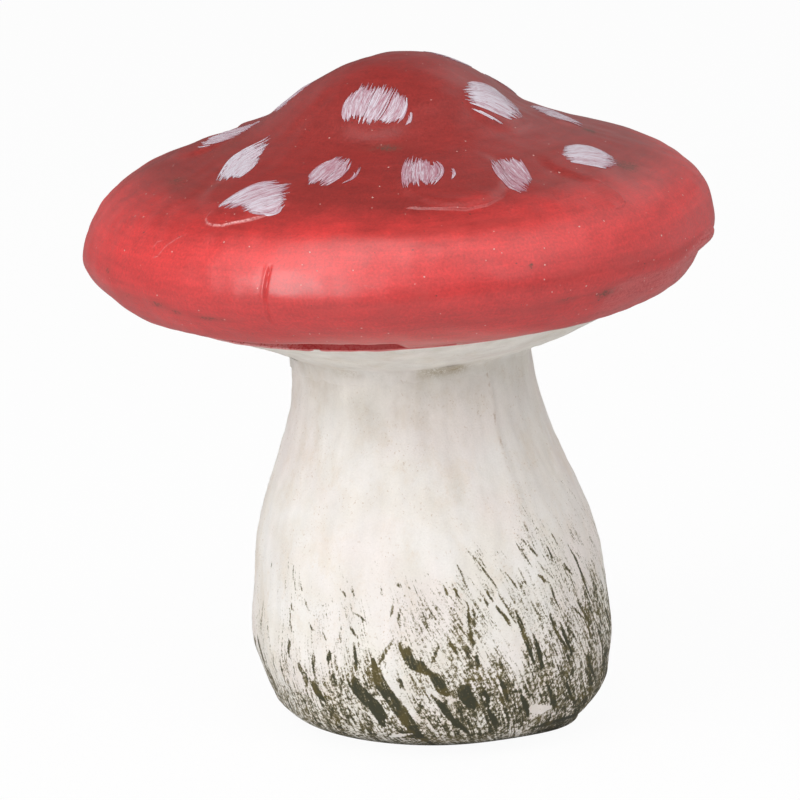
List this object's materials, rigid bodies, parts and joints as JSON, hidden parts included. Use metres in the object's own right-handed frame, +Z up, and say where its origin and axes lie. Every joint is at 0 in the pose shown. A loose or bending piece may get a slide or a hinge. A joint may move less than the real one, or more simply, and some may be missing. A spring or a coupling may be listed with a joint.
{
  "type": "mushroom ornament",
  "caption": "Free-standing earthenware toadstool with a domed, dabbed cap luted on a hollow flared stalk; rests on a flat foot slab with a drain hole.",
  "frame": {"origin": "on the ground, under the middle of the cap", "axes": "+Z up, from the foot to the cap; the pictured front faces -Y and +X is to its right"},
  "size_m": [0.1836, 0.1838, 0.1991],
  "materials": {
    "cap_red": "satin red paint on earthenware",
    "whitewash": "matt cream wash on earthenware",
    "dab_paint": "dry-brushed white paint",
    "raw_clay": "unpainted fired clay"
  },
  "bodies": {
    "root": {"cap_crown": "cap_red", "rim_slip": "cap_red", "cap_underside": "whitewash", "neck_slip": "whitewash", "stalk_half_left": "whitewash", "stalk_half_right": "whitewash", "seam_slip_front": "whitewash", "seam_slip_back": "whitewash", "foot_slab": "raw_clay", "foot_slip": "raw_clay", "paint_dab_1": "dab_paint", "paint_dab_2": "dab_paint", "paint_dab_3": "dab_paint", "paint_dab_4": "dab_paint", "paint_dab_5": "dab_paint", "paint_dab_6": "dab_paint", "paint_dab_7": "dab_paint", "paint_dab_8": "dab_paint", "paint_dab_9": "dab_paint", "paint_dab_10": "dab_paint", "paint_dab_11": "dab_paint", "paint_dab_12": "dab_paint", "paint_dab_13": "dab_paint", "paint_dab_14": "dab_paint", "paint_dab_15": "dab_paint", "paint_dab_16": "dab_paint", "paint_dab_17": "dab_paint", "paint_dab_18": "dab_paint", "paint_dab_19": "dab_paint", "paint_dab_20": "dab_paint"}
  },
  "joints": []
}
